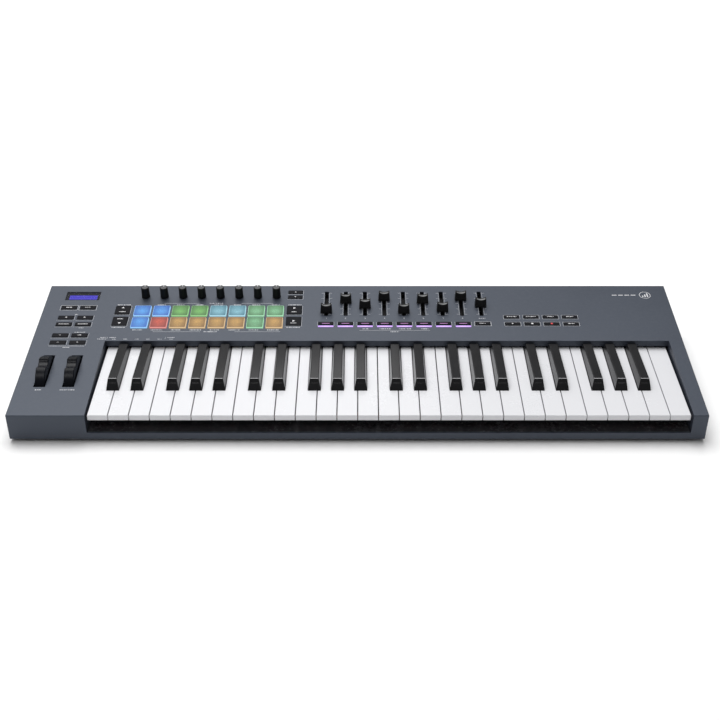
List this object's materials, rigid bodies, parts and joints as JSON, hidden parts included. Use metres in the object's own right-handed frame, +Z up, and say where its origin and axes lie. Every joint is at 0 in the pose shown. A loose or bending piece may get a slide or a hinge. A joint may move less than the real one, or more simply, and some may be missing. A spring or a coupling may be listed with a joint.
{
  "type": "midi keyboard",
  "caption": "Desktop keyboard controller with piano-style keys, two wheels, lit pads, knobs, sliders and a small display on a tilted panel.",
  "frame": {"origin": "on the table, under the middle of the unit's outer box", "axes": "+X along the keys from low to high notes, +Y from the player to the back, +Z up"},
  "size_m": [0.789, 0.251, 0.0761],
  "materials": {
    "case_plastic": "satin moulded slate blue-grey",
    "base_plastic": "fine spark-eroded texture",
    "foot_rubber": "matt",
    "screw_steel": "black zinc",
    "keybed_plastic": "black moulded",
    "rod_steel": "ground",
    "stop_felt": "wool felt",
    "board_laminate": "solder resist",
    "dome_silicone": "silicone",
    "spring_steel": "bright",
    "window_acrylic": "smoked acrylic",
    "display_panel": "blue backlit liquid crystal",
    "pot_metal": "stamped",
    "wheel_plastic": "soft-touch black",
    "socket_metal": "nickel plate",
    "socket_plastic": "black moulded",
    "ribbon_plastic": "grey flat cable",
    "white_key_plastic": "polished top, satin sides",
    "black_key_plastic": "satin with polished edges",
    "knob_rubber": "soft-touch black",
    "fader_plastic": "black with grey saddle",
    "pad_silicone": "translucent silicone, lit from below",
    "button_silicone": "black silicone"
  },
  "bodies": {
    "root": {"top_case": "case_plastic", "bottom_case": "base_plastic", "rubber_feet": "foot_rubber", "case_screws": "screw_steel", "keybed_chassis": "keybed_plastic", "key_pivot_rod": "rod_steel", "key_stop_felts": "stop_felt", "key_contact_board": "board_laminate", "key_contact_domes": "dome_silicone", "key_springs": "spring_steel", "display_window": "window_acrylic", "display_module": "display_panel", "main_board": "board_laminate", "control_board": "board_laminate", "knob_pots": "pot_metal", "fader_pots": "pot_metal", "wheel_bracket": "keybed_plastic", "pitch_wheel_spring": "spring_steel", "usb_socket": "socket_metal", "midi_out_socket": "socket_plastic", "sustain_jack": "socket_plastic", "ribbon_cable": "ribbon_plastic"},
    "white_keys_cegb_1": {"white_keys_cegb_1": "white_key_plastic"},
    "white_keys_dfa_1": {"white_keys_dfa_1": "white_key_plastic"},
    "black_keys_1": {"black_keys_1": "black_key_plastic"},
    "white_keys_cegb_2": {"white_keys_cegb_2": "white_key_plastic"},
    "white_keys_dfa_2": {"white_keys_dfa_2": "white_key_plastic"},
    "black_keys_2": {"black_keys_2": "black_key_plastic"},
    "white_keys_cegb_3": {"white_keys_cegb_3": "white_key_plastic"},
    "white_keys_dfa_3": {"white_keys_dfa_3": "white_key_plastic"},
    "black_keys_3": {"black_keys_3": "black_key_plastic"},
    "white_keys_cegb_4": {"white_keys_cegb_4": "white_key_plastic"},
    "white_keys_dfa_4": {"white_keys_dfa_4": "white_key_plastic"},
    "black_keys_4": {"black_keys_4": "black_key_plastic"},
    "white_key_top_c": {"white_key_top_c": "white_key_plastic"},
    "pitch_wheel": {"pitch_wheel": "wheel_plastic"},
    "mod_wheel": {"mod_wheel": "wheel_plastic"},
    "knob_1": {"knob_1": "knob_rubber"},
    "knob_2": {"knob_2": "knob_rubber"},
    "knob_3": {"knob_3": "knob_rubber"},
    "knob_4": {"knob_4": "knob_rubber"},
    "knob_5": {"knob_5": "knob_rubber"},
    "knob_6": {"knob_6": "knob_rubber"},
    "knob_7": {"knob_7": "knob_rubber"},
    "knob_8": {"knob_8": "knob_rubber"},
    "fader_1": {"fader_1": "fader_plastic"},
    "fader_2": {"fader_2": "fader_plastic"},
    "fader_3": {"fader_3": "fader_plastic"},
    "fader_4": {"fader_4": "fader_plastic"},
    "fader_5": {"fader_5": "fader_plastic"},
    "fader_6": {"fader_6": "fader_plastic"},
    "fader_7": {"fader_7": "fader_plastic"},
    "fader_8": {"fader_8": "fader_plastic"},
    "fader_9": {"fader_9": "fader_plastic"},
    "pads_upper_row": {"pads_upper_row": "pad_silicone"},
    "pads_lower_row": {"pads_lower_row": "pad_silicone"},
    "left_buttons": {"left_buttons": "button_silicone"},
    "navigation_buttons": {"navigation_buttons": "button_silicone"},
    "fader_buttons": {"fader_buttons": "button_silicone"},
    "transport_buttons": {"transport_buttons": "button_silicone"}
  },
  "joints": [
    {"name": "white_keys_cegb_1_dip", "type": "hinge", "parent": "root", "child": "white_keys_cegb_1", "pos_m": [0, 0.054, 0.0355], "axis": [1, 0, 0], "range_deg": [0, 3.3], "stiffness_Nm_per_rad": 2, "springref_deg": -5.73},
    {"name": "white_keys_dfa_1_dip", "type": "hinge", "parent": "root", "child": "white_keys_dfa_1", "pos_m": [0, 0.054, 0.0355], "axis": [1, 0, 0], "range_deg": [0, 3.3], "stiffness_Nm_per_rad": 1.5, "springref_deg": -5.73},
    {"name": "black_keys_1_dip", "type": "hinge", "parent": "root", "child": "black_keys_1", "pos_m": [0, 0.054, 0.0355], "axis": [1, 0, 0], "range_deg": [0, 3.3], "stiffness_Nm_per_rad": 2.5, "springref_deg": -5.73},
    {"name": "white_keys_cegb_2_dip", "type": "hinge", "parent": "root", "child": "white_keys_cegb_2", "pos_m": [0, 0.054, 0.0355], "axis": [1, 0, 0], "range_deg": [0, 3.3], "stiffness_Nm_per_rad": 2, "springref_deg": -5.73},
    {"name": "white_keys_dfa_2_dip", "type": "hinge", "parent": "root", "child": "white_keys_dfa_2", "pos_m": [0, 0.054, 0.0355], "axis": [1, 0, 0], "range_deg": [0, 3.3], "stiffness_Nm_per_rad": 1.5, "springref_deg": -5.73},
    {"name": "black_keys_2_dip", "type": "hinge", "parent": "root", "child": "black_keys_2", "pos_m": [0, 0.054, 0.0355], "axis": [1, 0, 0], "range_deg": [0, 3.3], "stiffness_Nm_per_rad": 2.5, "springref_deg": -5.73},
    {"name": "white_keys_cegb_3_dip", "type": "hinge", "parent": "root", "child": "white_keys_cegb_3", "pos_m": [0, 0.054, 0.0355], "axis": [1, 0, 0], "range_deg": [0, 3.3], "stiffness_Nm_per_rad": 2, "springref_deg": -5.73},
    {"name": "white_keys_dfa_3_dip", "type": "hinge", "parent": "root", "child": "white_keys_dfa_3", "pos_m": [0, 0.054, 0.0355], "axis": [1, 0, 0], "range_deg": [0, 3.3], "stiffness_Nm_per_rad": 1.5, "springref_deg": -5.73},
    {"name": "black_keys_3_dip", "type": "hinge", "parent": "root", "child": "black_keys_3", "pos_m": [0, 0.054, 0.0355], "axis": [1, 0, 0], "range_deg": [0, 3.3], "stiffness_Nm_per_rad": 2.5, "springref_deg": -5.73},
    {"name": "white_keys_cegb_4_dip", "type": "hinge", "parent": "root", "child": "white_keys_cegb_4", "pos_m": [0, 0.054, 0.0355], "axis": [1, 0, 0], "range_deg": [0, 3.3], "stiffness_Nm_per_rad": 2, "springref_deg": -5.73},
    {"name": "white_keys_dfa_4_dip", "type": "hinge", "parent": "root", "child": "white_keys_dfa_4", "pos_m": [0, 0.054, 0.0355], "axis": [1, 0, 0], "range_deg": [0, 3.3], "stiffness_Nm_per_rad": 1.5, "springref_deg": -5.73},
    {"name": "black_keys_4_dip", "type": "hinge", "parent": "root", "child": "black_keys_4", "pos_m": [0, 0.054, 0.0355], "axis": [1, 0, 0], "range_deg": [0, 3.3], "stiffness_Nm_per_rad": 2.5, "springref_deg": -5.73},
    {"name": "white_key_top_c_dip", "type": "hinge", "parent": "root", "child": "white_key_top_c", "pos_m": [0, 0.054, 0.0355], "axis": [1, 0, 0], "range_deg": [0, 3.3], "stiffness_Nm_per_rad": 0.5, "springref_deg": -5.73},
    {"name": "pitch_wheel_turn", "type": "hinge", "parent": "root", "child": "pitch_wheel", "pos_m": [-0.3669, -0.04536, 0.02924], "axis": [1, 0, 0], "range_deg": [-36, 36], "stiffness_Nm_per_rad": 0.06},
    {"name": "mod_wheel_turn", "type": "hinge", "parent": "root", "child": "mod_wheel", "pos_m": [-0.33365, -0.04536, 0.02924], "axis": [1, 0, 0], "range_deg": [-36, 36]},
    {"name": "knob_1_turn", "type": "hinge", "parent": "root", "child": "knob_1", "pos_m": [-0.269, 0.10095, 0.0607], "axis": [0, -0.1045, 0.9945], "range_deg": [-150, 150]},
    {"name": "knob_2_turn", "type": "hinge", "parent": "root", "child": "knob_2", "pos_m": [-0.24526, 0.10095, 0.0607], "axis": [0, -0.1045, 0.9945], "range_deg": [-150, 150]},
    {"name": "knob_3_turn", "type": "hinge", "parent": "root", "child": "knob_3", "pos_m": [-0.22152, 0.10095, 0.0607], "axis": [0, -0.1045, 0.9945], "range_deg": [-150, 150]},
    {"name": "knob_4_turn", "type": "hinge", "parent": "root", "child": "knob_4", "pos_m": [-0.19778, 0.10095, 0.0607], "axis": [0, -0.1045, 0.9945], "range_deg": [-150, 150]},
    {"name": "knob_5_turn", "type": "hinge", "parent": "root", "child": "knob_5", "pos_m": [-0.17404, 0.10095, 0.0607], "axis": [0, -0.1045, 0.9945], "range_deg": [-150, 150]},
    {"name": "knob_6_turn", "type": "hinge", "parent": "root", "child": "knob_6", "pos_m": [-0.1503, 0.10095, 0.0607], "axis": [0, -0.1045, 0.9945], "range_deg": [-150, 150]},
    {"name": "knob_7_turn", "type": "hinge", "parent": "root", "child": "knob_7", "pos_m": [-0.12656, 0.10095, 0.0607], "axis": [0, -0.1045, 0.9945], "range_deg": [-150, 150]},
    {"name": "knob_8_turn", "type": "hinge", "parent": "root", "child": "knob_8", "pos_m": [-0.10282, 0.10095, 0.0607], "axis": [0, -0.1045, 0.9945], "range_deg": [-150, 150]},
    {"name": "fader_1_slide", "type": "slide", "parent": "root", "child": "fader_1", "axis": [0, 0.9945, 0.1045], "range_m": [-0.0054, 0.0396]},
    {"name": "fader_2_slide", "type": "slide", "parent": "root", "child": "fader_2", "axis": [0, 0.9945, 0.1045], "range_m": [-0.0262, 0.0188]},
    {"name": "fader_3_slide", "type": "slide", "parent": "root", "child": "fader_3", "axis": [0, 0.9945, 0.1045], "range_m": [-0.0149, 0.0301]},
    {"name": "fader_4_slide", "type": "slide", "parent": "root", "child": "fader_4", "axis": [0, 0.9945, 0.1045], "range_m": [-0.0316, 0.0134]},
    {"name": "fader_5_slide", "type": "slide", "parent": "root", "child": "fader_5", "axis": [0, 0.9945, 0.1045], "range_m": [-0.005, 0.04]},
    {"name": "fader_6_slide", "type": "slide", "parent": "root", "child": "fader_6", "axis": [0, 0.9945, 0.1045], "range_m": [-0.0258, 0.0192]},
    {"name": "fader_7_slide", "type": "slide", "parent": "root", "child": "fader_7", "axis": [0, 0.9945, 0.1045], "range_m": [-0.0084, 0.0366]},
    {"name": "fader_8_slide", "type": "slide", "parent": "root", "child": "fader_8", "axis": [0, 0.9945, 0.1045], "range_m": [-0.0322, 0.0128]},
    {"name": "fader_9_slide", "type": "slide", "parent": "root", "child": "fader_9", "axis": [0, 0.9945, 0.1045], "range_m": [-0.0179, 0.0271]},
    {"name": "pads_upper_row_press", "type": "slide", "parent": "root", "child": "pads_upper_row", "axis": [0, 0.1045, -0.9945], "range_m": [0, 0.0007], "stiffness_N_per_m": 2400, "springref_m": -0.0005},
    {"name": "pads_lower_row_press", "type": "slide", "parent": "root", "child": "pads_lower_row", "axis": [0, 0.1045, -0.9945], "range_m": [0, 0.0007], "stiffness_N_per_m": 2400, "springref_m": -0.0005},
    {"name": "left_buttons_press", "type": "slide", "parent": "root", "child": "left_buttons", "axis": [0, 0.1045, -0.9945], "range_m": [0, 0.0007], "stiffness_N_per_m": 1600, "springref_m": -0.0005},
    {"name": "navigation_buttons_press", "type": "slide", "parent": "root", "child": "navigation_buttons", "axis": [0, 0.1045, -0.9945], "range_m": [0, 0.0007], "stiffness_N_per_m": 1600, "springref_m": -0.0005},
    {"name": "fader_buttons_press", "type": "slide", "parent": "root", "child": "fader_buttons", "axis": [0, 0.1045, -0.9945], "range_m": [0, 0.0007], "stiffness_N_per_m": 1600, "springref_m": -0.0005},
    {"name": "transport_buttons_press", "type": "slide", "parent": "root", "child": "transport_buttons", "axis": [0, 0.1045, -0.9945], "range_m": [0, 0.0007], "stiffness_N_per_m": 1600, "springref_m": -0.0005}
  ]
}
